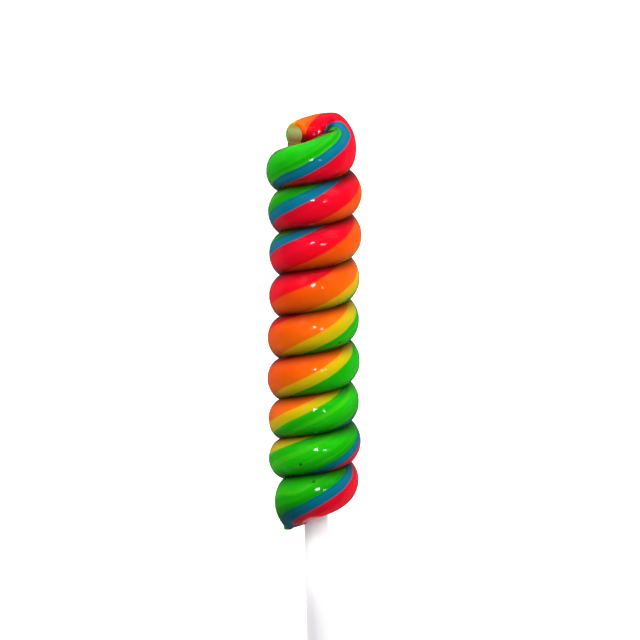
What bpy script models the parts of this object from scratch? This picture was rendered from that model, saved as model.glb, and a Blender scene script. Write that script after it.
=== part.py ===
"""A swirl lollipop: one striped rope of hard candy wound up a plain white stick.

Lengths are metres. The lollipop lies on its back. X points right and Z up, with the
shown side on top. The stick lies along Y: its bare end is at -Y and the candy's top
end at +Y. Places along the rope are counted in turns: 0 is on the left, a quarter
turn on is at the front (+Z), a half is on the right, three quarters is behind.
"""

import math

import bmesh
import bpy

# Stick
STICK_LENGTH = 0.150
STICK_DIAMETER = 0.0045
STICK_EDGE = 0.0004  # rounding of its two rims
STICK_TOP = 0.0660  # height that its hidden end reaches inside the candy
STICK_SIDES = 32
PLAY = 0.0003  # gap between stick and candy

# How the rope climbs. Heights run up the stick from near the candy's low end.
PITCH = 0.00803  # rise of one turn, once clear of the low end
LOW_LIFT = 0.00238  # the low turns sit this much higher than the pitch alone gives,
LIFT_TURNS = 2.6  # fading out over about this many turns
LIFT_FULL_TURN = -0.2  # and no more than here
LEAN_LEFT = 0.00031  # the coils ride up on the left
LEAN_FRONT = 0.00011  # and, a little, at the front
PRESSED = 0.00041  # depth that neighbouring turns are melted into each other
LAST_TURN = 8.90

# How far out the rope's outer side stands from the stick's middle, low end first
SIDE_LEFT = (0.0083, 0.0086, 0.0085, 0.0085, 0.0083, 0.0079, 0.0077, 0.0077, 0.0079)
SIDE_RIGHT = (0.0081, 0.0087, 0.0085, 0.0088, 0.0088, 0.0091, 0.0096, 0.0098, 0.0091)
FRONT_AND_BACK = 0.0086
SWELL = 0.0036  # depth of the rope's round outer half
INNER_SIDE = 0.0006  # how near the stick's middle the rope's inner side comes
INNER_BOXINESS = 5.0  # its inner side is pressed nearly square

# The low end: the rope's start is drawn out, bent down and pinched off
TAIL_TURN = 0.10  # where the bend starts
TAIL_SAG = 0.0014  # how far the rope's lower side hangs there
SAG_TURNS = 0.50
TIP_HEIGHT = -0.0030
TIP_RADIUS = 0.0053  # of its middle, from the stick's middle
TIP_TURNS = (-0.027, 0.045)  # the turns that the pinched tip spans
TAIL_STEPS = 6

# The top end: the last half turn rises, curls in and thins to a flat cut
RISE_TURNS = (8.43, 8.58)  # where its upper side climbs to PEAK
PEAK = 0.0750
END_CREST = 0.0734  # height of its upper side at the cut
END_LIFT = 0.0011  # how far its lower side has left the turn below there
CURL_WEIGHT = 0.0007  # depth that the curl presses into the turn below it
WEIGHED_TURNS = (7.80, 8.10, 8.20, 8.38)  # where that starts, is full, and ends
CURL_FROM = 8.45
CURL_START_PULL = 0.0050  # how far it runs straight on before closing in
CURL_END = (-0.0022, -0.0005)  # X and Z of the middle of the cut, from the stick's
CURL_END_HEADING = (-0.66, 0.75)  # X and Z of the way it points there
CURL_END_PULL = 0.0030
THIN_FROM = 8.54
END_SWELL = 0.0025
ROUNDING_TURNS = (8.10, 8.50)  # where its inner side turns from square to round
INNER_SWELL = 0.0024  # depth of its inner half once round
ROUND = 2.0
PLUG_RADIUS = 0.0038  # candy pressed together above the stick's end
PLUG_TOP = 0.0697

# The back was set down while soft, which left a small flat on most turns
BACK_FLAT = 0.00838  # from the stick's middle

STEPS_A_TURN = 32
OUTER_STEPS = 8
INNER_STEPS = 6
CREASE_ANGLE = math.radians(38)
WELD = 0.00001
PAST_ENDS = 0.02  # how far cutters run past the candy

CANDY_GREEN = (0.02, 0.42, 0.01)  # its broadest stripe
CANDY_ROUGHNESS = 0.12
STICK_WHITE = (0.90, 0.89, 0.88)
STICK_ROUGHNESS = 0.45


def ease(share):
    share = min(max(share, 0.0), 1.0)
    return share * share * (3 - 2 * share)


def blend(start, end, share):
    return start + (end - start) * share


def eased_between(turn, first, last):
    return ease((turn - first) / (last - first))


def thinning(turn):
    """0 up to the closing curl, growing to 1 at the rope's cut end."""
    return eased_between(turn, THIN_FROM, LAST_TURN)


def ledge(turn):
    """Height where the rope at this turn meets the turn above it."""
    lift = LOW_LIFT * math.exp(-max(turn, LIFT_FULL_TURN) / LIFT_TURNS)
    around = 2 * math.pi * turn
    lean = LEAN_LEFT * math.cos(around) + LEAN_FRONT * math.sin(around)
    return PITCH * (turn + 0.5) + lift + lean


def crest(turn):
    """Height of the rope's upper side."""
    after_peak = max(turn - RISE_TURNS[1], 0.0) / (LAST_TURN - RISE_TURNS[1])
    peak = blend(PEAK, END_CREST, after_peak**2)
    starts, full, from_full, ends = WEIGHED_TURNS
    weighed = eased_between(turn, starts, full) - eased_between(turn, from_full, ends)
    low = ledge(turn) + PRESSED - CURL_WEIGHT * weighed
    return blend(low, peak, eased_between(turn, *RISE_TURNS))


def underside(turn):
    """Height of the rope's lower side."""
    sag = TAIL_SAG * ease((SAG_TURNS - turn) / SAG_TURNS)
    return ledge(turn - 1) - PRESSED - sag + END_LIFT * thinning(turn)


def reach(turn):
    """Distance of the rope's outer side from the stick's middle."""
    quarters = []
    for left, right in zip(SIDE_LEFT, SIDE_RIGHT):
        quarters += [left, FRONT_AND_BACK, right, FRONT_AND_BACK]
    below = int(4 * turn)
    return blend(quarters[below], quarters[below + 1], ease(4 * turn - below))


def outward(turn):
    """X and Z of the way out from the stick."""
    angle = 2 * math.pi * turn - math.pi / 2
    return math.sin(angle), math.cos(angle)


def place(radius, turn, height):
    out_x, out_z = outward(turn)
    return radius * out_x, height, radius * out_z


def curl_spine(turn):
    """The rope's middle in the closing curl, and the way out from it, as X and Z."""
    share = (turn - CURL_FROM) / (LAST_TURN - CURL_FROM)
    out = outward(CURL_FROM)
    middle = reach(CURL_FROM) - SWELL
    pulls = ((out[1], CURL_START_PULL), (-out[0], CURL_START_PULL))
    point, heading = [], []
    for axis, (ahead, pull) in enumerate(pulls):
        first = middle * out[axis]
        last = CURL_END[axis]
        steps = (first, first + pull * ahead,
                 last - CURL_END_PULL * CURL_END_HEADING[axis], last)
        a, b, c = (blend(steps[i], steps[i + 1], share) for i in range(3))
        d, e = blend(a, b, share), blend(b, c, share)
        point.append(blend(d, e, share))
        heading.append(e - d)
    length = math.hypot(*heading)
    return point, (-heading[1] / length, heading[0] / length)


def cross_section(swell, inner, boxiness):
    """Outline of the rope: (distance out from its middle, share of its height)."""
    outline = []
    steps = [90.0 - 180.0 * i / OUTER_STEPS for i in range(OUTER_STEPS)]
    steps += [-90.0 - 180.0 * i / INNER_STEPS for i in range(INNER_STEPS)]
    for degrees in steps:
        across, along = math.cos(math.radians(degrees)), math.sin(math.radians(degrees))
        if degrees < -90.0:
            across = -(abs(across) ** (2 / boxiness))
            along = math.copysign(abs(along) ** (2 / boxiness), along)
        outline.append((across * (swell if across > 0 else inner), (along + 1) / 2))
    return outline


def rope_ring(turn):
    """Ring of points round the rope at this turn."""
    swell = blend(SWELL, END_SWELL, thinning(turn))
    rounding = eased_between(turn, *ROUNDING_TURNS)
    if turn > CURL_FROM:
        middle, out = curl_spine(turn)
    else:
        out = outward(turn)
        middle = [(reach(turn) - swell) * way for way in out]
    inner = blend(math.hypot(*middle) - INNER_SIDE, INNER_SWELL, rounding)
    inner = blend(inner, END_SWELL, thinning(turn))
    ring = []
    boxiness = blend(INNER_BOXINESS, ROUND, rounding)
    for across, share in cross_section(swell, inner, boxiness):
        height = blend(underside(turn), crest(turn), share)
        ring.append((middle[0] + across * out[0], height, middle[1] + across * out[1]))
    return ring


def tail_ring(along):
    """Ring of the bent tail: along is 0 where it leaves the coil, 1 at its tip."""
    lower = (blend(TAIL_TURN, TIP_TURNS[1], along),
             blend(underside(TAIL_TURN), TIP_HEIGHT, along))
    swing = math.radians(90 * along)
    upper = (blend(TAIL_TURN, TIP_TURNS[0], math.sin(swing)),
             blend(TIP_HEIGHT, crest(TAIL_TURN), math.cos(swing)))
    middle = reach(TAIL_TURN) - SWELL
    sideways = 2 * math.pi * middle * (upper[0] - lower[0])
    size = math.hypot(sideways, upper[1] - lower[1])
    size /= crest(TAIL_TURN) - underside(TAIL_TURN)
    inner = (middle - INNER_SIDE) * size
    middle = blend(middle, TIP_RADIUS, along)
    ring = []
    boxiness = blend(INNER_BOXINESS, ROUND, along)
    for across, share in cross_section(SWELL * size, inner, boxiness):
        turn, height = (blend(low, high, share) for low, high in zip(lower, upper))
        ring.append(place(middle + across, turn, height))
    return ring


def rope():
    rings = [tail_ring(1 - i / TAIL_STEPS) for i in range(TAIL_STEPS)]
    first = math.ceil(TAIL_TURN * STEPS_A_TURN)
    last = int(LAST_TURN * STEPS_A_TURN)
    turns = [TAIL_TURN] + [i / STEPS_A_TURN for i in range(first, last + 1)]
    rings += [rope_ring(turn) for turn in turns + [LAST_TURN]]
    around = len(rings[0])
    points = [point for ring in rings for point in ring]
    faces = [tuple(reversed(range(around)))]
    for low in range(0, len(points) - around, around):
        for i in range(around):
            j = (i + 1) % around
            faces.append((low + i, low + j, low + around + j, low + around + i))
    faces.append(tuple(range(len(points) - around, len(points))))
    return new_object("candy", points, faces)


def new_object(name, points, faces):
    mesh = bpy.data.meshes.new(name)
    mesh.from_pydata(points, [], faces)
    obj = bpy.data.objects.new(name, mesh)
    bpy.context.collection.objects.link(obj)
    fix_normals(mesh)
    return obj


def fix_normals(mesh):
    work = bmesh.new()
    work.from_mesh(mesh)
    bmesh.ops.remove_doubles(work, verts=work.verts, dist=WELD)
    bmesh.ops.recalc_face_normals(work, faces=work.faces)
    work.to_mesh(mesh)
    work.free()


def rod(name, radius, low, high, edge=0.0):
    """A round rod along the stick's line, with rims rounded by edge."""
    outline = [(0.0, low), (radius - edge, low), (radius, low + edge)]
    outline += [(radius, high - edge), (radius - edge, high), (0.0, high)]
    points, faces = [], []
    for radius_here, height in outline:
        for i in range(STICK_SIDES):
            points.append(place(radius_here, i / STICK_SIDES, height))
    for low_ring in range(0, len(points) - STICK_SIDES, STICK_SIDES):
        for i in range(STICK_SIDES):
            j = (i + 1) % STICK_SIDES
            faces.append((low_ring + i, low_ring + j, low_ring + STICK_SIDES + j,
                          low_ring + STICK_SIDES + i))
    return new_object(name, points, faces)


def slab():
    """What is missing below the flats of the back."""
    points = [(x, y, z - BACK_FLAT) for x in (-PAST_ENDS, PAST_ENDS)
              for y in (-PAST_ENDS, PEAK + PAST_ENDS) for z in (-PAST_ENDS, 0.0)]
    faces = [(0, 1, 3, 2), (4, 6, 7, 5), (0, 4, 5, 1), (2, 3, 7, 6), (0, 2, 6, 4),
             (1, 5, 7, 3)]
    return new_object("below_flats", points, faces)


def fuse(obj, other):
    """Joins other to obj, and each turn of obj to the next."""
    modifier = obj.modifiers.new(other.name, "BOOLEAN")
    modifier.operation = "UNION"
    modifier.solver = "EXACT"
    modifier.use_self = True
    settle(obj, modifier, other)


def cut(obj, other):
    """Takes other out of obj. EXACT leaves the fused rope's bore open here."""
    modifier = obj.modifiers.new(other.name, "BOOLEAN")
    modifier.operation = "DIFFERENCE"
    modifier.solver = "MANIFOLD"
    settle(obj, modifier, other)


def settle(obj, modifier, other):
    """Keeps the modifier's result as obj's own mesh, and drops other."""
    modifier.object = other
    graph = bpy.context.evaluated_depsgraph_get()
    result = bpy.data.meshes.new_from_object(obj.evaluated_get(graph))
    obj.modifiers.clear()
    obj.data = result
    bpy.data.objects.remove(other)


def finish(obj, colour, roughness):
    """Cleans and shades obj, and gives it its material."""
    fix_normals(obj.data)
    obj.data.polygons.foreach_set("use_smooth", [True] * len(obj.data.polygons))
    obj.data.set_sharp_from_angle(angle=CREASE_ANGLE)
    material = bpy.data.materials.new(obj.name)
    material.use_nodes = True
    shader = material.node_tree.nodes["Principled BSDF"]
    shader.inputs["Base Color"].default_value = (*colour, 1.0)
    shader.inputs["Roughness"].default_value = roughness
    shader.inputs["Metallic"].default_value = 0.0
    obj.data.materials.clear()
    obj.data.materials.append(material)


def candy():
    obj = rope()
    plug = rod("plug", PLUG_RADIUS, STICK_TOP - PLUG_RADIUS, PLUG_TOP)
    fuse(obj, plug)
    bore = rod("bore", STICK_DIAMETER / 2 + PLAY, -PAST_ENDS, STICK_TOP + PLAY)
    cut(obj, bore)
    cut(obj, slab())
    finish(obj, CANDY_GREEN, CANDY_ROUGHNESS)
    return obj


def stick():
    low = STICK_TOP - STICK_LENGTH
    obj = rod("stick", STICK_DIAMETER / 2, low, STICK_TOP, STICK_EDGE)
    finish(obj, STICK_WHITE, STICK_ROUGHNESS)
    return obj


def centre_on_floor(parts):
    """Moves the origin to the middle of the whole, on the floor it lies on."""
    points = [vertex.co for obj in parts for vertex in obj.data.vertices]
    low = [min(point[axis] for point in points) for axis in range(3)]
    high = [max(point[axis] for point in points) for axis in range(3)]
    move = (-(low[0] + high[0]) / 2, -(low[1] + high[1]) / 2, -low[2])
    for obj in parts:
        for vertex in obj.data.vertices:
            vertex.co = [value + shift for value, shift in zip(vertex.co, move)]


def main():
    for obj in list(bpy.data.objects):
        bpy.data.objects.remove(obj)
    centre_on_floor([candy(), stick()])


main()
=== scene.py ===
"""Looks of a swirl lollipop: a striped rope of hard candy wound up a plain white stick.

The lollipop lies on its back along Y, with the candy's top end at +Y. Lengths are
metres. Places along the rope are counted in turns: 0 is on the left, a quarter turn on
is at the front (+Z), a half is on the right, three quarters is behind. Angles round the
rope's section are degrees: 0 faces away from the stick, 90 faces the candy's top end.
"""

import math

import bmesh
import bpy
from mathutils import Matrix, Vector, noise

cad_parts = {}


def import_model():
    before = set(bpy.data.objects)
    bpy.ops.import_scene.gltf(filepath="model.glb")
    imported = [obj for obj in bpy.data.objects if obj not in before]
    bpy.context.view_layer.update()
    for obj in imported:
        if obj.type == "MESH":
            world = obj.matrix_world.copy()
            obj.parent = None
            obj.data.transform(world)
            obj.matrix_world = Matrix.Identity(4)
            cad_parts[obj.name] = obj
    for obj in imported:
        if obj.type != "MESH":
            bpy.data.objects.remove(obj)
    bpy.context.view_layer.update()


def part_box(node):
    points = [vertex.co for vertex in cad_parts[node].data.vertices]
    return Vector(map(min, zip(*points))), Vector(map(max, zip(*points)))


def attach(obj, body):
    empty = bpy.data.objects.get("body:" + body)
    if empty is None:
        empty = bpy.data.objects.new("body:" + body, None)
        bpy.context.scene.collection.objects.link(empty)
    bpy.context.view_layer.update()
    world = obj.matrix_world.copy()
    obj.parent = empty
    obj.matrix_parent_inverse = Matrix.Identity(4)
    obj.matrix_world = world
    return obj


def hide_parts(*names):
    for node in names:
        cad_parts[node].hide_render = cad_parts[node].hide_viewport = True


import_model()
stick_low, stick_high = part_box("stick")

# ---------------------------------------------------------------- sizes

# Stick
STICK_RADIUS = (stick_high.x - stick_low.x) / 2
STICK_TOP = 0.0660  # height that its hidden end reaches inside the candy
RIM = 0.0004  # rounding of its two ends

# Heights run up the stick's middle line from this point
BASE = Vector(((stick_low.x + stick_high.x) / 2, stick_high.y - STICK_TOP,
               (stick_low.z + stick_high.z) / 2))

# How the rope climbs
PITCH = 0.00803  # rise of one turn, once clear of the low end
LOW_LIFT = 0.00238  # the low turns sit this much higher than the pitch alone gives,
LIFT_TURNS = 2.6  # fading out over about this many turns
LIFT_FULL_TURN = -0.2  # and no more than here
LEAN_LEFT = 0.00031  # the coils ride up on the left
LEAN_FRONT = 0.00011  # and, a little, at the front
PRESSED = 0.00041  # depth that neighbouring turns are melted into each other
LAST_TURN = 8.90

# How far out the rope's outer side stands from the stick's middle, low end first
SIDE_LEFT = (0.0083, 0.0086, 0.0085, 0.0085, 0.0083, 0.0079, 0.0077, 0.0077, 0.0079)
SIDE_RIGHT = (0.0081, 0.0087, 0.0085, 0.0088, 0.0088, 0.0091, 0.0096, 0.0098, 0.0091)
FRONT_AND_BACK = 0.0086
SWELL = 0.0036  # depth of the rope's round outer half
INNER_SIDE = 0.0006  # how near the stick's middle the rope's inner side comes
INNER_BOXINESS = 5.0  # its inner side is pressed nearly square

# The low end: the rope's start is drawn out, bent down and pinched off
TAIL_TURN = 0.10  # where the bend starts
TAIL_SAG = 0.0014  # how far the rope's lower side hangs there
SAG_TURNS = 0.50
TIP_HEIGHT = -0.0030
TIP_RADIUS = 0.0053  # of its middle, from the stick's middle
TIP_TURNS = (-0.027, 0.045)  # the turns that the pinched tip spans

# The top end: the last half turn rises, curls in and thins to a flat cut
RISE_TURNS = (8.43, 8.58)  # where its upper side climbs to PEAK
PEAK = 0.0750
END_CREST = 0.0734  # height of its upper side at the cut
END_LIFT = 0.0011  # how far its lower side has left the turn below there
CURL_WEIGHT = 0.0007  # depth that the curl presses into the turn below it
WEIGHED_TURNS = (7.80, 8.10, 8.20, 8.38)  # where that starts, is full, and ends
CURL_FROM = 8.45
CURL_START_PULL = 0.0050  # how far it runs straight on before closing in
CURL_END = (-0.0022, -0.0005)  # X and Z of the middle of the cut, from the stick's
CURL_END_HEADING = (-0.66, 0.75)  # X and Z of the way it points there
CURL_END_PULL = 0.0030
THIN_FROM = 8.54
END_SWELL = 0.0025
ROUNDING_TURNS = (8.10, 8.50)  # where its inner side turns from square to round
INNER_SWELL = 0.0024  # depth of its inner half once round
ROUND = 2.0
PLUG_RADIUS = 0.0038  # candy pressed together above the stick's end
PLUG_TOP = 0.0697

# Fineness of the meshes
STEPS_A_TURN = 128
OUTER_STEPS = 28
INNER_STEPS = 8
TAIL_STEPS = STEPS_A_TURN // 4
ROD_SIDES = 96
WELD = 0.000001
CREASE_ANGLE = math.radians(38)


# ---------------------------------------------------------------- helpers

def ease(share):
    share = min(max(share, 0.0), 1.0)
    return share * share * (3 - 2 * share)


def blend(start, end, share):
    return start + (end - start) * share


def eased_between(turn, first, last):
    return ease((turn - first) / (last - first))


# ---------------------------------------------------------------- the rope's course

def thinning(turn):
    """0 up to the closing curl, growing to 1 at the rope's cut end."""
    return eased_between(turn, THIN_FROM, LAST_TURN)


def ledge(turn):
    """Height where the rope at this turn meets the turn above it."""
    lift = LOW_LIFT * math.exp(-max(turn, LIFT_FULL_TURN) / LIFT_TURNS)
    around = 2 * math.pi * turn
    lean = LEAN_LEFT * math.cos(around) + LEAN_FRONT * math.sin(around)
    return PITCH * (turn + 0.5) + lift + lean


def crest(turn):
    """Height of the rope's upper side."""
    after_peak = max(turn - RISE_TURNS[1], 0.0) / (LAST_TURN - RISE_TURNS[1])
    peak = blend(PEAK, END_CREST, after_peak**2)
    starts, full, from_full, ends = WEIGHED_TURNS
    weighed = eased_between(turn, starts, full) - eased_between(turn, from_full, ends)
    low = ledge(turn) + PRESSED - CURL_WEIGHT * weighed
    return blend(low, peak, eased_between(turn, *RISE_TURNS))


def underside(turn):
    """Height of the rope's lower side."""
    sag = TAIL_SAG * ease((SAG_TURNS - turn) / SAG_TURNS)
    return ledge(turn - 1) - PRESSED - sag + END_LIFT * thinning(turn)


def reach(turn):
    """Distance of the rope's outer side from the stick's middle."""
    quarters = []
    for left, right in zip(SIDE_LEFT, SIDE_RIGHT):
        quarters += [left, FRONT_AND_BACK, right, FRONT_AND_BACK]
    below = int(4 * turn)
    return blend(quarters[below], quarters[below + 1], ease(4 * turn - below))


def outward(turn):
    """X and Z of the way out from the stick."""
    angle = 2 * math.pi * turn - math.pi / 2
    return math.sin(angle), math.cos(angle)


def place(radius, turn, height):
    out_x, out_z = outward(turn)
    return radius * out_x, height, radius * out_z


def curl_spine(turn):
    """The rope's middle in the closing curl, and the way out from it, as X and Z."""
    share = (turn - CURL_FROM) / (LAST_TURN - CURL_FROM)
    out = outward(CURL_FROM)
    middle = reach(CURL_FROM) - SWELL
    pulls = ((out[1], CURL_START_PULL), (-out[0], CURL_START_PULL))
    point, heading = [], []
    for axis, (ahead, pull) in enumerate(pulls):
        first = middle * out[axis]
        last = CURL_END[axis]
        steps = (first, first + pull * ahead,
                 last - CURL_END_PULL * CURL_END_HEADING[axis], last)
        a, b, c = (blend(steps[i], steps[i + 1], share) for i in range(3))
        d, e = blend(a, b, share), blend(b, c, share)
        point.append(blend(d, e, share))
        heading.append(e - d)
    length = math.hypot(*heading)
    return point, (-heading[1] / length, heading[0] / length)


def section_angles():
    """Degrees at each point round the section, and once more at the first point."""
    angles = [90.0 - 180.0 * i / OUTER_STEPS for i in range(OUTER_STEPS)]
    return angles + [-90.0 - 180.0 * i / INNER_STEPS for i in range(INNER_STEPS + 1)]


def cross_section(swell, inner, boxiness):
    """Outline of the rope: (distance out from its middle, share of its height)."""
    outline = []
    for degrees in section_angles()[:-1]:
        across, along = math.cos(math.radians(degrees)), math.sin(math.radians(degrees))
        if degrees < -90.0:
            across = -(abs(across) ** (2 / boxiness))
            along = math.copysign(abs(along) ** (2 / boxiness), along)
        outline.append((across * (swell if across > 0 else inner), (along + 1) / 2))
    return outline


def rope_ring(turn):
    """Ring of points round the rope at this turn."""
    swell = blend(SWELL, END_SWELL, thinning(turn))
    rounding = eased_between(turn, *ROUNDING_TURNS)
    if turn > CURL_FROM:
        middle, out = curl_spine(turn)
    else:
        out = outward(turn)
        middle = [(reach(turn) - swell) * way for way in out]
    inner = blend(math.hypot(*middle) - INNER_SIDE, INNER_SWELL, rounding)
    inner = blend(inner, END_SWELL, thinning(turn))
    ring = []
    boxiness = blend(INNER_BOXINESS, ROUND, rounding)
    for across, share in cross_section(swell, inner, boxiness):
        height = blend(underside(turn), crest(turn), share)
        ring.append((middle[0] + across * out[0], height, middle[1] + across * out[1]))
    return ring


def tail_ring(along):
    """Ring of the bent tail: along is 0 where it leaves the coil, 1 at its tip."""
    lower = (blend(TAIL_TURN, TIP_TURNS[1], along),
             blend(underside(TAIL_TURN), TIP_HEIGHT, along))
    swing = math.radians(90 * along)
    upper = (blend(TAIL_TURN, TIP_TURNS[0], math.sin(swing)),
             blend(TIP_HEIGHT, crest(TAIL_TURN), math.cos(swing)))
    middle = reach(TAIL_TURN) - SWELL
    sideways = 2 * math.pi * middle * (upper[0] - lower[0])
    size = math.hypot(sideways, upper[1] - lower[1])
    size /= crest(TAIL_TURN) - underside(TAIL_TURN)
    inner = (middle - INNER_SIDE) * size
    middle = blend(middle, TIP_RADIUS, along)
    ring = []
    boxiness = blend(INNER_BOXINESS, ROUND, along)
    for across, share in cross_section(SWELL * size, inner, boxiness):
        turn, height = (blend(low, high, share) for low, high in zip(lower, upper))
        ring.append(place(middle + across, turn, height))
    return ring


# ---------------------------------------------------------------- stripes

# Angle of each stripe's lower edge round the rope, where nothing has slipped
STRIPES = (("green", 7.0), ("yellow", 166.0), ("orange", 206.0), ("red", 271.0),
           ("blue", 336.0))
FRONT_TURN = 0.25
TWIST = 316.0  # degrees a turn that the stripes climb round the section

# How far the stripes have slipped back at the front of each turn, low end first
SLIPPED = (8.0, 27.0, 22.0, 34.0, 11.0, 16.0, 21.0, 5.0, -4.0)
SLIPPED_AROUND = 15.0  # each turn they slip this much on one side and back on the other
SLIPPED_SIDE = 0.34  # turn where that is most

# The low turns are more drawn out on one side of the section than on the other
DRAWN_OUT = 43.0  # degrees that this moves the stripes, at most
DRAWN_ANGLE = -22.0  # where it packs them closest
DRAWN_TURN = 2.0  # it is most here
DRAWN_TURNS = 1.5  # and half as much this far off

# Curling the end in has turned the stripes further, most on its inner side
CURL_TWIST = 12.0
CURL_TWIST_SWING = 45.0
CURL_TWIST_SIDE = 160.0  # angle round the section
CURL_TWIST_TURNS = (8.42, 8.50)
UNTWIST = 0.5  # share of that which is gone again at the cut
UNTWIST_TURNS = (8.56, 8.84)
FOLD_TWIST = 18.0  # more twist, where the curl folds
FOLD_TWIST_TURN = 8.54
FOLD_TWIST_TURNS = 0.06
FOLD_TWIST_ANGLE = 130.0
FOLD_TWIST_WIDTH = (20.0, 60.0)
TAIL_TWIST_TURNS = 0.12  # twist left in the bent tail, as turns of rope
TAIL_SPREAD = 32.0  # bending it has spread the blue over its front,
TAIL_SPREAD_SIDE = 50.0  # drawing the stripes apart from here
TAIL_SPREAD_TURNS = (0.20, 0.08)  # where that starts, and is full


def nearness(degrees, angle, reaches):
    """1 near this angle round the section, falling to 0 between the two reaches."""
    return 1 - eased_between(abs((degrees - angle + 180.0) % 360.0 - 180.0), *reaches)


def slipped(turn):
    place_in_list = min(max(turn - FRONT_TURN, 0.0), len(SLIPPED) - 1.001)
    below = int(place_in_list)
    slip = blend(SLIPPED[below], SLIPPED[below + 1], place_in_list - below)
    return slip + SLIPPED_AROUND * math.cos(2 * math.pi * (turn - SLIPPED_SIDE))


def stripe_angle(turn, degrees):
    """Where this place on the rope lies among the stripes, by the angles of STRIPES."""
    angle = degrees - TWIST * (turn - FRONT_TURN)
    drawn = DRAWN_OUT * math.cos(math.radians(angle - DRAWN_ANGLE))
    drawn /= 1 + ((turn - DRAWN_TURN) / DRAWN_TURNS) ** 2
    side = math.radians(degrees - CURL_TWIST_SIDE)
    curl = CURL_TWIST + CURL_TWIST_SWING * math.cos(side)
    curl *= eased_between(turn, *CURL_TWIST_TURNS)
    curl *= 1 - UNTWIST * eased_between(turn, *UNTWIST_TURNS)
    fold = FOLD_TWIST * nearness(degrees, FOLD_TWIST_ANGLE, FOLD_TWIST_WIDTH)
    fold *= math.exp(-((turn - FOLD_TWIST_TURN) / FOLD_TWIST_TURNS) ** 2)
    tail = TAIL_SPREAD * math.cos(math.radians(degrees - TAIL_SPREAD_SIDE))
    tail *= eased_between(turn, *TAIL_SPREAD_TURNS)
    return angle + slipped(turn) - drawn - curl - fold - tail


# ---------------------------------------------------------------- seams: painted shade

SEAM_CORE = 24.0  # degrees off the seam where the painted shade is darkest
SEAM_WIDTH = 66.0  # and where the painted shade ends
SEAM_BELOW = 0.70  # how dark the painted shade in the lower seam is beside the upper one
TURN_ABOVE_ENDS = (7.95, 8.20)  # turns over which the rope above leaves
TURN_BELOW_STARTS = (0.80, 1.10)
CURL_SEAM_ANGLE = -130.0  # side of the curl that lies on the turn below, at its end, where shade is painted
CURL_SEAM = (38.0, 70.0)
CURL_SEAM_SWING = 24.0  # where the curl starts, more of its inner side lies on it
CURL_SEAM_TURNS = (8.58, 8.80)
UNDER_CURL_ANGLE = 140.0  # the same painted shade on the turn below
UNDER_CURL = (48.0, 62.0)
UNDER_CURL_TURNS = (8.02, 8.10)
# Painted shade on the lower side of the bent tail, near its tip
TAIL_SHADE = 0.60
TAIL_SHADE_ANGLE = -75.0
TAIL_SHADE_WIDTH = (35.0, 90.0)
TAIL_SHADE_TURNS = (0.32, 0.14)
FOLD_TURN = 8.48  # painted shade in the fold that the curl makes on its upper inner side
FOLD_TURNS = 0.04
FOLD_ANGLE = 138.0
FOLD_WIDTH = (10.0, 50.0)


def seam(turn, degrees):
    """How much shade is painted on this place, 0 to 1: in a seam between turns, under and in the
    curl, in the fold and on the tail.
    """
    above = nearness(degrees, 90.0, (SEAM_CORE, SEAM_WIDTH))
    above *= 1 - eased_between(turn, *TURN_ABOVE_ENDS)
    below = SEAM_BELOW * nearness(degrees, -90.0, (SEAM_CORE, SEAM_WIDTH))
    below *= eased_between(turn, *TURN_BELOW_STARTS)
    swing = CURL_SEAM_SWING * (1 - eased_between(turn, *CURL_SEAM_TURNS))
    curled = nearness(degrees, CURL_SEAM_ANGLE - swing, CURL_SEAM)
    curled *= eased_between(turn, *CURL_TWIST_TURNS)
    fold = nearness(degrees, FOLD_ANGLE, FOLD_WIDTH)
    fold *= math.exp(-((turn - FOLD_TURN) / FOLD_TURNS) ** 2)
    under = nearness(degrees, UNDER_CURL_ANGLE, UNDER_CURL)
    under *= eased_between(turn, *UNDER_CURL_TURNS)
    under *= 1 - eased_between(turn, CURL_TWIST_TURNS[0], FOLD_TURN)
    tail = TAIL_SHADE * nearness(degrees, TAIL_SHADE_ANGLE, TAIL_SHADE_WIDTH)
    tail *= eased_between(turn, *TAIL_SHADE_TURNS)
    return max(above, below, curled, fold, under, tail)


# ---------------------------------------------------------------- relief

RIDGE_DEPTH = 0.00003  # ridges that run along the rope, from pulling it
RIDGES_ACROSS = 2.2  # how finely they divide the section
RIDGE_RUN = 0.9  # how often they change along one turn
RIPPLE_DEPTH = 0.00005
RIPPLE_LENGTH = 0.0022


def relief(turn, degrees, point):
    """Height of the surface's unevenness at this place."""
    angle = math.radians(degrees)
    along = turn * RIDGE_RUN
    across = Vector((math.cos(angle), math.sin(angle), 0.0)) * RIDGES_ACROSS
    ridge = noise.noise(across + Vector((0.0, 0.0, along)))
    ripple = noise.noise(Vector(point) / RIPPLE_LENGTH)
    return RIDGE_DEPTH * ridge + RIPPLE_DEPTH * ripple


def uneven(turn, ring):
    """The ring with each point moved out from the ring's middle by its relief."""
    middle = sum((Vector(point) for point in ring), Vector()) / len(ring)
    moved = []
    for degrees, point in zip(section_angles(), ring):
        out = (Vector(point) - middle).normalized()
        moved.append(Vector(point) + out * relief(turn, degrees, point))
    return moved


# ---------------------------------------------------------------- meshes

STRIPES_UV = "stripes"  # U counts the rope's turns, V is stripe_angle in full circles
SEAM_SHADE_UV = "seam"  # U is the depth in the seam, which sets how much shade is painted there
BODY_V = 0.2  # V of faces with no place on the rope: mid-green


def new_mesh(name, points, faces, uvs, seam_shades, looks):
    """Mesh with one UV pair and painted seam shade a corner, and one material number a face."""
    mesh = bpy.data.meshes.new(name)
    mesh.from_pydata([BASE + Vector(point) for point in points], [], faces)
    layer = mesh.uv_layers.new(name=STRIPES_UV)
    layer.data.foreach_set("uv", [value for uv in uvs for value in uv])
    layer = mesh.uv_layers.new(name=SEAM_SHADE_UV)
    layer.data.foreach_set("uv", [value for depth in seam_shades for value in (depth, 0.0)])
    mesh.polygons.foreach_set("material_index", looks)
    return mesh


def new_object(name, mesh, materials):
    obj = bpy.data.objects.new(name, mesh)
    bpy.context.scene.collection.objects.link(obj)
    for material in materials:
        mesh.materials.append(material)
    return obj


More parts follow.
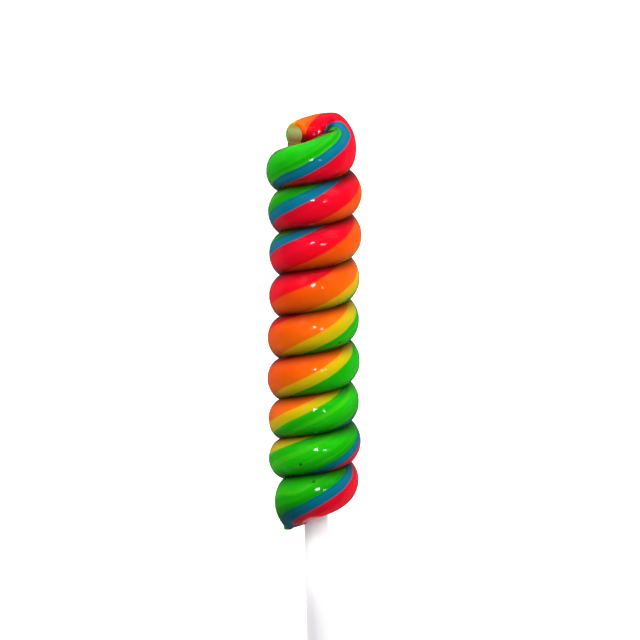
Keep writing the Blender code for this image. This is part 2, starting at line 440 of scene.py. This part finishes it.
def rod(name, outline, materials, look=0):
    """A round rod along the stick's line; its outline is (radius, height) pairs."""
    points, faces, uvs = [], [], []
    for radius, height in outline:
        for i in range(ROD_SIDES):
            points.append(place(radius, i / ROD_SIDES, height))
    for low in range(0, len(points) - ROD_SIDES, ROD_SIDES):
        for i in range(ROD_SIDES):
            j = (i + 1) % ROD_SIDES
            faces.append((low + i, low + j, low + ROD_SIDES + j, low + ROD_SIDES + i))
            uvs += [(0.0, BODY_V)] * 4
    mesh = new_mesh(name, points, faces, uvs, [0.0] * len(uvs), [look] * len(faces))
    obj = new_object(name, mesh, materials)
    clean(obj.data)
    return obj


def clean(mesh):
    work = bmesh.new()
    work.from_mesh(mesh)
    bmesh.ops.remove_doubles(work, verts=work.verts, dist=WELD)
    bmesh.ops.recalc_face_normals(work, faces=work.faces)
    work.to_mesh(mesh)
    work.free()


def shade(obj):
    obj.data.polygons.foreach_set("use_smooth", [True] * len(obj.data.polygons))
    obj.data.set_sharp_from_angle(angle=CREASE_ANGLE)


def combine(obj, other, operation, solver):
    """Joins other to obj, or takes it out, and drops other."""
    modifier = obj.modifiers.new(other.name, "BOOLEAN")
    modifier.operation = operation
    modifier.solver = solver
    modifier.use_self = solver == "EXACT"
    modifier.object = other
    graph = bpy.context.evaluated_depsgraph_get()
    result = bpy.data.meshes.new_from_object(obj.evaluated_get(graph))
    obj.modifiers.clear()
    obj.data = result
    bpy.data.objects.remove(other)


# ---------------------------------------------------------------- candy

# Rings that close the cut end: size of each beside the rope's section, and how far it
# stands out. The coloured skin ends at the third.
CUT_RINGS = ((0.985, 0.00004), (0.95, 0.00009), (0.74, 0.00011), (0.70, 0.00007),
             (0.50, 0.00002), (0.25, 0.0))
SKIN_RINGS = 3
# The same for the pinched tip
TIP_RINGS = ((0.90, 0.00010), (0.60, 0.00016))
FLAT_BLEND = 0.00012  # depth over which the back's flats run into the round turns

SKIN, BODY = 0, 1  # material numbers of the candy

PITS = ((4.361, -38.0), (1.199, -19.0), (0.243, 40.0))  # turn, and angle round the rope
PIT_RADIUS = 0.00035
PIT_DEPTH = 0.00018
PIT_SHADE = 0.6  # shade painted inside each pit, as a seam depth


def closing_rings(ring, along, sizes):
    """Smaller rings that close an end of the rope, standing out that way."""
    middle = sum((Vector(point) for point in ring), Vector()) / len(ring)
    return [[middle + (Vector(point) - middle) * size + along * stand_out
             for point in ring] for size, stand_out in sizes]


def rope_rings():
    """Rings of the whole rope from the tip to the cut, each with its turn."""
    rings = []
    for i in range(TAIL_STEPS):
        along = 1 - i / TAIL_STEPS
        turn = TAIL_TURN - TAIL_TWIST_TURNS * along
        rings.append((turn, uneven(turn, tail_ring(along))))
    first = math.ceil(TAIL_TURN * STEPS_A_TURN)
    last = int(LAST_TURN * STEPS_A_TURN)
    turns = [TAIL_TURN] + [i / STEPS_A_TURN for i in range(first, last + 1)]
    for turn in turns + [LAST_TURN]:
        rings.append((turn, uneven(turn, rope_ring(turn))))
    return rings


def rope(materials):
    rings = rope_rings()
    tip_way = Vector((0.0, -1.0, 0.0))
    tip_turn, tip = rings[0]
    tips = closing_rings(tip, tip_way, TIP_RINGS)
    cut_way = Vector((CURL_END_HEADING[0], 0.0, CURL_END_HEADING[1]))
    cuts = closing_rings(rings[-1][1], cut_way, CUT_RINGS)
    rings = [(tip_turn, ring) for ring in reversed(tips)] + rings
    skin_rings = len(rings) + SKIN_RINGS
    rings += [(LAST_TURN, ring) for ring in cuts]

    angles = section_angles()
    around = len(angles) - 1
    points = [point for _, ring in rings for point in ring]
    faces, uvs, seam_shades, looks = [], [], [], []
    for n in range(len(rings) - 1):
        low = n * around
        shares = [[stripe_angle(rings[m][0], angle) / 360.0 for angle in angles]
                  for m in (n, n + 1)]
        shades = [[seam(rings[m][0], angle) for angle in angles] for m in (n, n + 1)]
        for i in range(around):
            j = (i + 1) % around
            faces.append((low + i, low + j, low + around + j, low + around + i))
            uvs += [(rings[n][0], shares[0][i]), (rings[n][0], shares[0][i + 1]),
                    (rings[n + 1][0], shares[1][i + 1]), (rings[n + 1][0], shares[1][i])]
            seam_shades += [shades[0][i], shades[0][i + 1], shades[1][i + 1], shades[1][i]]
            looks.append(SKIN if n + 1 < skin_rings else BODY)
    faces += [tuple(reversed(range(around))), tuple(range(len(points) - around, len(points)))]
    uvs += [(tip_turn, stripe_angle(tip_turn, angle) / 360.0) for angle in reversed(angles[:-1])]
    uvs += [(LAST_TURN, BODY_V)] * around
    seam_shades += [0.0] * around * 2
    looks += [SKIN, BODY]
    mesh = new_mesh("candy_rope", points, faces, uvs, seam_shades, looks)
    obj = new_object("candy_rope", mesh, materials)
    clean(obj.data)
    return obj


def pit(place_on_rope, materials):
    """Cutter for one pit: a small ball half out of the surface."""
    turn, degrees = place_on_rope
    ring = rope_ring(turn)
    angles = section_angles()
    nearest = min(range(len(ring)), key=lambda i: abs(angles[i] - degrees))
    middle = sum((Vector(point) for point in ring), Vector()) / len(ring)
    point = Vector(ring[nearest])
    centre = point + (point - middle).normalized() * (PIT_RADIUS - PIT_DEPTH)
    ball = bmesh.new()
    bmesh.ops.create_icosphere(ball, subdivisions=3, radius=PIT_RADIUS,
                               matrix=Matrix.Translation(centre))
    points = [vertex.co.copy() for vertex in ball.verts]
    faces = [tuple(vertex.index for vertex in face.verts) for face in ball.faces]
    ball.free()
    mesh = new_mesh("pit", points, faces, [(0.0, BODY_V)] * 3 * len(faces),
                    [PIT_SHADE] * 3 * len(faces), [SKIN] * len(faces))
    return new_object("pit", mesh, materials)


def press_flats(mesh):
    """Presses what reaches below the floor flat, as soft candy set down on it."""
    for vertex in mesh.vertices:
        height = vertex.co.z / FLAT_BLEND
        if height < 1.0:
            vertex.co.z = FLAT_BLEND * max((height + 1.0) / 2.0, 0.0) ** 2


def candy(materials):
    obj = rope(materials)
    plug = rod("plug", [(0.0, STICK_TOP - PLUG_RADIUS), (PLUG_RADIUS, STICK_TOP - PLUG_RADIUS),
                        (PLUG_RADIUS, PLUG_TOP), (0.0, PLUG_TOP)], materials, BODY)
    combine(obj, plug, "UNION", "EXACT")
    bore = rod("bore", [(0.0, -0.02), (STICK_RADIUS - TOUCH, -0.02),
                        (STICK_RADIUS - TOUCH, STICK_TOP), (0.0, STICK_TOP)], materials)
    combine(obj, bore, "DIFFERENCE", "MANIFOLD")
    for place_on_rope in PITS:
        combine(obj, pit(place_on_rope, materials), "DIFFERENCE", "MANIFOLD")
    clean(obj.data)
    press_flats(obj.data)
    shade(obj)
    return obj


def stick(materials):
    low = STICK_TOP - (stick_high.y - stick_low.y)
    outline = [(0.0, low)]
    outline += [(STICK_RADIUS - RIM + RIM * math.sin(angle), low + RIM - RIM * math.cos(angle))
                for angle in (math.pi / 2 * i / 6 for i in range(7))]
    outline += [(STICK_RADIUS, blend(low, 0.0, i / 40)) for i in range(1, 41)]
    outline += [(STICK_RADIUS, STICK_TOP - RIM)]
    outline += [(STICK_RADIUS - RIM, STICK_TOP), (0.0, STICK_TOP)]
    obj = rod("stick_rod", outline, materials)
    shade(obj)
    return obj


# ---------------------------------------------------------------- materials

SOFT_EDGE = 2.0  # degrees either side of a stripe's edge
COLOURS = {  # of each stripe at its lower edge, its middle and its upper edge
    "green": ((0.002, 0.24, 0.001), (0.009, 0.40, 0.002), (0.006, 0.32, 0.001)),
    "yellow": ((0.37, 0.38, 0.002), (0.47, 0.36, 0.002), (0.60, 0.32, 0.002)),
    "orange": ((0.67, 0.115, 0.001), (0.70, 0.079, 0.001), (0.69, 0.060, 0.001)),
    "red": ((0.66, 0.002, 0.006), (0.67, 0.001, 0.015), (0.52, 0.001, 0.013)),
    "blue": ((0.002, 0.105, 0.20), (0.001, 0.125, 0.20), (0.001, 0.105, 0.14)),
}
STREAKS = {  # what the streaks along each stripe turn to
    "green": (0.06, 0.47, 0.005),
    "yellow": (0.58, 0.39, 0.003),
    "orange": (0.76, 0.12, 0.002),
    "red": (0.74, 0.004, 0.022),
    "blue": (0.001, 0.10, 0.16),
}
DARK_EDGE = ("blue", "red")
DARK_EDGE_COLOUR = (0.10, 0.01, 0.03)
STREAKS_A_TURN = 0.8
STREAKS_AROUND = 11.0
STREAK_RELIEF = 0.6
WANDER_SCALE = 160.0  # features a metre along which the edges wander
WANDER = 0.018  # and how far, in full circles
# Colour and strength of the shade painted into the seams, the curl, the fold, the tail and the
# pits
SEAM_SHADE_COLOUR = (0.0, 0.0, 0.0)
SEAM_SHADE_STRENGTH = 0.93
SMEAR_SCALE = 300.0
GLOSS = (0.07, 0.16)  # roughness from the glossiest place to the least
PEBBLE_SCALE = 700.0
PEBBLE_DEPTH = 0.00006
CLOUD_SCALE = 260.0
BODY_PALE = (0.38, 0.41, 0.14)
BODY_GREEN = (0.32, 0.36, 0.11)
# Painted shade: the cut and the candy below it darken towards this at the bottom
BODY_SHADE = (0.16, 0.10, 0.03)
BODY_SHADE_FADE = (0.0017, 0.0034)  # depths below the top of the cut over which the painted shade darkens it
STICK_PALE = (0.72, 0.71, 0.72)
STICK_SHADED = (0.69, 0.68, 0.70)
FIBRE_SCALE = 900.0
FIBRE_STRETCH = 12.0
FIBRE_DEPTH = 0.00002
STICK_SCATTER = 0.004  # how far light spreads in it
SPECK_SCALE = 1100.0
SPECK_RANGE = (0.84, 0.87)
SPECK_COLOUR = (0.62, 0.61, 0.60)


def new_material(name):
    material = bpy.data.materials.new(name)
    material.use_nodes = True
    nodes = material.node_tree.nodes
    return material, nodes, material.node_tree.links, nodes["Principled BSDF"]


def split_uv(nodes, links, layer):
    """The two numbers of a UV layer."""
    uv = nodes.new("ShaderNodeUVMap")
    uv.uv_map = layer
    split = nodes.new("ShaderNodeSeparateXYZ")
    links.new(uv.outputs["UV"], split.inputs[0])
    return split.outputs["X"], split.outputs["Y"]


def maths(nodes, links, operation, *values):
    node = nodes.new("ShaderNodeMath")
    node.operation = operation
    for value, socket in zip(values, node.inputs):
        if isinstance(value, (int, float)):
            socket.default_value = value
        else:
            links.new(value, socket)
    return node.outputs[0]


def noise_of(nodes, links, place, scale, detail):
    node = nodes.new("ShaderNodeTexNoise")
    node.inputs["Scale"].default_value = scale
    node.inputs["Detail"].default_value = detail
    links.new(place, node.inputs["Vector"])
    return node.outputs[0]


def spread(nodes, links, value, given, wanted):
    """Takes the value from one range to another, and clamps it there."""
    node = nodes.new("ShaderNodeMapRange")
    limits = (*given, *wanted)
    for name, limit in zip(("From Min", "From Max", "To Min", "To Max"), limits):
        node.inputs[name].default_value = limit
    links.new(value, node.inputs["Value"])
    return node.outputs[0]


def mixed(nodes, links, amount, first, second):
    node = nodes.new("ShaderNodeMix")
    node.data_type = "RGBA"
    links.new(amount, node.inputs[0])
    for colour, socket in ((first, node.inputs[6]), (second, node.inputs[7])):
        if isinstance(colour, tuple):
            socket.default_value = (*colour, 1.0)
        else:
            links.new(colour, socket)
    return node.outputs[2]


def bumped(nodes, links, height, depth):
    node = nodes.new("ShaderNodeBump")
    node.inputs["Distance"].default_value = depth
    links.new(height, node.inputs["Height"])
    return node.outputs[0]


def skin_material():
    material, nodes, links, shader = new_material("candy_skin")
    turn, stripe = split_uv(nodes, links, STRIPES_UV)
    seam_shade_amount, _ = split_uv(nodes, links, SEAM_SHADE_UV)
    place = nodes.new("ShaderNodeTexCoord").outputs["Object"]

    wander = noise_of(nodes, links, place, WANDER_SCALE, 2.0)
    wander = maths(nodes, links, "SUBTRACT", wander, 0.5)
    stripe = maths(nodes, links, "MULTIPLY_ADD", wander, WANDER, stripe)
    wrapped = maths(nodes, links, "FRACT", stripe)
    plain = nodes.new("ShaderNodeValToRGB")
    links.new(wrapped, plain.inputs[0])
    stripes(plain.color_ramp, COLOURS)
    pale = nodes.new("ShaderNodeValToRGB")
    links.new(wrapped, pale.inputs[0])
    stripes(pale.color_ramp, {name: (colour,) * 3 for name, colour in STREAKS.items()})

    # Streaks drawn out along the rope where the candy was pulled
    drawn = nodes.new("ShaderNodeCombineXYZ")
    links.new(maths(nodes, links, "MULTIPLY", turn, STREAKS_A_TURN), drawn.inputs[0])
    links.new(maths(nodes, links, "MULTIPLY", stripe, STREAKS_AROUND), drawn.inputs[1])
    streak = noise_of(nodes, links, drawn.outputs[0], 1.0, 3.0)
    amount = spread(nodes, links, streak, (0.50, 0.72), (0.0, 0.75))
    colour = mixed(nodes, links, amount, plain.outputs[0], pale.outputs[0])
    # Painted shade: the seams, the curl, the fold, the tail and the pits darken towards black
    painted_shade = maths(nodes, links, "MULTIPLY", seam_shade_amount, SEAM_SHADE_STRENGTH)
    colour = mixed(nodes, links, painted_shade, colour, SEAM_SHADE_COLOUR)
    links.new(colour, shader.inputs["Base Color"])

    smears = noise_of(nodes, links, place, SMEAR_SCALE, 3.0)
    links.new(spread(nodes, links, smears, (0.35, 0.70), GLOSS), shader.inputs["Roughness"])
    fine = noise_of(nodes, links, place, PEBBLE_SCALE, 2.0)
    height = maths(nodes, links, "MULTIPLY_ADD", streak, STREAK_RELIEF, fine)
    links.new(bumped(nodes, links, height, PEBBLE_DEPTH), shader.inputs["Normal"])
    return material


def stripes(ramp, colours):
    """Fills a colour ramp with the stripes, and softens their edges a little."""
    stops = []
    for n, (name, edge) in enumerate(STRIPES):
        below = STRIPES[n - 1][0]
        top = STRIPES[n + 1][1] if n + 1 < len(STRIPES) else STRIPES[0][1] + 360.0
        stops.append((edge - SOFT_EDGE, colours[below][2]))
        if (below, name) == DARK_EDGE:
            stops.append((edge, DARK_EDGE_COLOUR))
        stops.append((edge + SOFT_EDGE, colours[name][0]))
        stops.append(((edge + top) / 2, colours[name][1]))
    while len(ramp.elements) < len(stops):
        ramp.elements.new(1.0)
    for element, (degrees, colour) in zip(ramp.elements, stops):
        element.position = degrees / 360.0
        element.color = (*colour, 1.0)


def body_material():
    material, nodes, links, shader = new_material("candy_body")
    place = nodes.new("ShaderNodeTexCoord").outputs["Object"]
    cloud = noise_of(nodes, links, place, CLOUD_SCALE, 2.0)
    amount = spread(nodes, links, cloud, (0.35, 0.65), (0.0, 1.0))
    colour = mixed(nodes, links, amount, BODY_PALE, BODY_GREEN)
    split = nodes.new("ShaderNodeSeparateXYZ")
    links.new(place, split.inputs[0])
    # Painted shade: darker towards the bottom of the cut
    shaded_heights = tuple(BASE.y + END_CREST - depth for depth in BODY_SHADE_FADE)
    low = spread(nodes, links, split.outputs["Y"], shaded_heights, (0.0, 1.0))
    colour = mixed(nodes, links, low, colour, BODY_SHADE)
    links.new(colour, shader.inputs["Base Color"])
    grain = noise_of(nodes, links, place, PEBBLE_SCALE, 3.0)
    links.new(spread(nodes, links, grain, (0.30, 0.70), GLOSS), shader.inputs["Roughness"])
    links.new(bumped(nodes, links, grain, PEBBLE_DEPTH), shader.inputs["Normal"])
    return material


def stick_material():
    material, nodes, links, shader = new_material("stick_white")
    place = nodes.new("ShaderNodeTexCoord").outputs["Object"]
    stretched = nodes.new("ShaderNodeMapping")
    stretched.inputs["Scale"].default_value = (FIBRE_SCALE, FIBRE_SCALE / FIBRE_STRETCH,
                                               FIBRE_SCALE)
    links.new(place, stretched.inputs[0])
    fibre = noise_of(nodes, links, stretched.outputs[0], 1.0, 4.0)
    amount = spread(nodes, links, fibre, (0.40, 0.70), (0.0, 1.0))
    colour = mixed(nodes, links, amount, STICK_PALE, STICK_SHADED)
    speck = noise_of(nodes, links, place, SPECK_SCALE, 0.0)
    amount = spread(nodes, links, speck, SPECK_RANGE, (0.0, 1.0))
    colour = mixed(nodes, links, amount, colour, SPECK_COLOUR)
    links.new(colour, shader.inputs["Base Color"])
    links.new(spread(nodes, links, fibre, (0.30, 0.70), (0.38, 0.55)),
              shader.inputs["Roughness"])
    links.new(bumped(nodes, links, fibre, FIBRE_DEPTH), shader.inputs["Normal"])
    shader.inputs["Subsurface Weight"].default_value = 0.6
    shader.inputs["Subsurface Radius"].default_value = (1.0, 1.0, 1.0)
    shader.inputs["Subsurface Scale"].default_value = STICK_SCATTER
    return material


# ---------------------------------------------------------------- the object

TOUCH = 0.00002  # how far the stick reaches into the candy's wall

candy_piece = candy([skin_material(), body_material()])
stick_piece = stick([stick_material()])
for piece, node in ((candy_piece, "candy"), (stick_piece, "stick")):
    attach(piece, "root")
    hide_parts(node)


# ---------------------------------------------------------------- stage

FLOOR_GLOW = 0.85


def floor():
    half = 2.0
    mesh = bpy.data.meshes.new("floor")
    mesh.from_pydata([(-half, -half, 0.0), (half, -half, 0.0), (half, half, 0.0),
                      (-half, half, 0.0)], [], [(0, 1, 2, 3)])
    material, nodes, links, shader = new_material("floor_white")
    shader.inputs["Base Color"].default_value = (0.92, 0.92, 0.92, 1.0)
    shader.inputs["Roughness"].default_value = 0.9
    shader.inputs["Emission Color"].default_value = (1.0, 1.0, 1.0, 1.0)
    shader.inputs["Emission Strength"].default_value = FLOOR_GLOW
    obj = new_object("floor", mesh, [material])
    obj.visible_glossy = False


def lamp(name, aim, way, distance, size, strength, mirrored=True):
    """A soft light that shines on aim from that way. The gloss shows it if mirrored."""
    data = bpy.data.lights.new(name, "AREA")
    data.size = size
    data.energy = strength
    obj = bpy.data.objects.new(name, data)
    bpy.context.scene.collection.objects.link(obj)
    way = Vector(way).normalized()
    obj.matrix_world = Matrix.Translation(aim + way * distance) @ way.to_track_quat(
        "Z", "Y").to_matrix().to_4x4()
    obj.visible_glossy = mirrored
    obj.visible_camera = False
    return obj


CAMERA_TIP = 7.8  # degrees that the camera leans towards the candy's top end
CAMERA_ROLL = 1.23
CAMERA_DISTANCE = 1.0
VIEW_WIDTH = 0.120  # width of what it sees, at the stick
VIEW_CENTRE = (0.00076, 0.03595)  # from the stick's middle line at height 0


def camera():
    data = bpy.data.cameras.new("camera")
    obj = bpy.data.objects.new("camera", data)
    bpy.context.scene.collection.objects.link(obj)
    tip = math.radians(CAMERA_TIP)
    turned = Matrix.Rotation(-tip, 4, "X") @ Matrix.Rotation(math.radians(-CAMERA_ROLL), 4, "Z")
    centre = BASE + turned.to_3x3() @ Vector((*VIEW_CENTRE, 0.0))
    back = turned.to_3x3() @ Vector((0.0, 0.0, 1.0))
    obj.matrix_world = Matrix.Translation(centre + back * CAMERA_DISTANCE) @ turned
    data.lens = data.sensor_width * CAMERA_DISTANCE / VIEW_WIDTH
    data.clip_start = 0.01
    bpy.context.scene.camera = obj
    return back


floor()
to_camera = camera()
middle = BASE + Vector((0.0, 0.036, 0.0))
lamp("key_left", middle, (-0.72, 0.85, 0.72), 0.6, 0.3, 3.1, mirrored=False)
lamp("key_right", middle, (0.77, 0.85, 0.72), 0.6, 0.3, 3.8, mirrored=False)
lamp("flash", middle, to_camera + Vector((0.04, 0.20, 0.0)), 0.7, 0.08, 0.8)
lamp("side_flash", middle, to_camera + Vector((0.45, 0.0, 0.0)), 0.7, 0.06, 0.2)

lamp("top_sheen", middle, (-0.10, 1.0, 0.06), 0.5, 0.4, 0.12)

lamp("low_fill", BASE + Vector((0.0, -0.006, 0.0)), (0.7, -0.6, 0.8), 0.6, 0.2, 0.9,
     mirrored=False)
lamp("near_fill", BASE + Vector((0.0, -0.003, 0.002)), (-0.3, -0.6, 0.75), 0.012, 0.008,
     0.0007, mirrored=False)


def world():
    """Dim light all round, and a paler lower half that only reflections see."""
    studio = bpy.data.worlds.new("studio")
    studio.use_nodes = True
    nodes, links = studio.node_tree.nodes, studio.node_tree.links
    split = nodes.new("ShaderNodeSeparateXYZ")
    links.new(nodes.new("ShaderNodeTexCoord").outputs["Generated"], split.inputs[0])
    strength = spread(nodes, links, split.outputs["Z"], (0.0, -0.2), (WORLD_UP, WORLD_DOWN))
    links.new(strength, nodes["Background"].inputs["Strength"])
    nodes["Background"].inputs["Color"].default_value = (1.0, 1.0, 1.0, 1.0)
    bpy.context.scene.world = studio


WORLD_UP = 0.05
WORLD_DOWN = 0.10
world()
bpy.context.scene.view_settings.view_transform = "Standard"
